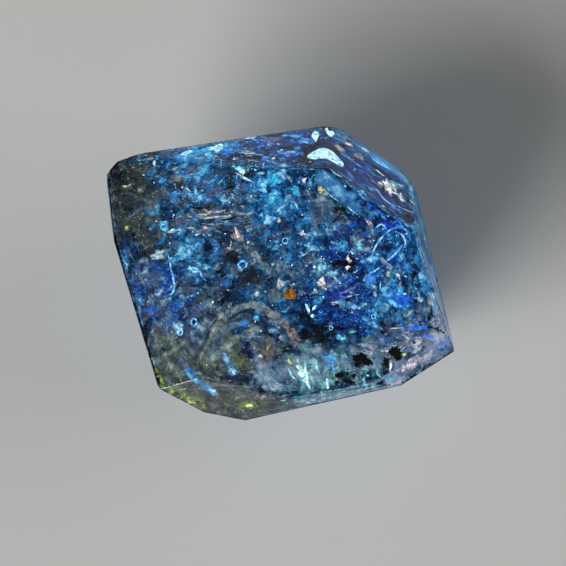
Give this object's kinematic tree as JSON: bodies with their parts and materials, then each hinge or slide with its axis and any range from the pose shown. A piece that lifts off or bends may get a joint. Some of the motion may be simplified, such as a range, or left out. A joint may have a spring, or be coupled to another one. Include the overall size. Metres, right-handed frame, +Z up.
{
  "type": "petroleum quartz crystal",
  "caption": "Stubby, clear quartz crystal grown free on all sides, lying on a flat face, full of petroleum inclusions that glow blue.",
  "frame": {"origin": "middle of the crystal's footprint box, on the surface that it lies on", "axes": "+Z up, away from the resting face; +X along the crystal's longer width; +Y away from the viewer"},
  "size_m": [0.0154, 0.0138, 0.0093],
  "materials": {
    "clear_quartz": "gloss"
  },
  "bodies": {
    "root": {"quartz_crystal": "clear_quartz"}
  },
  "joints": []
}
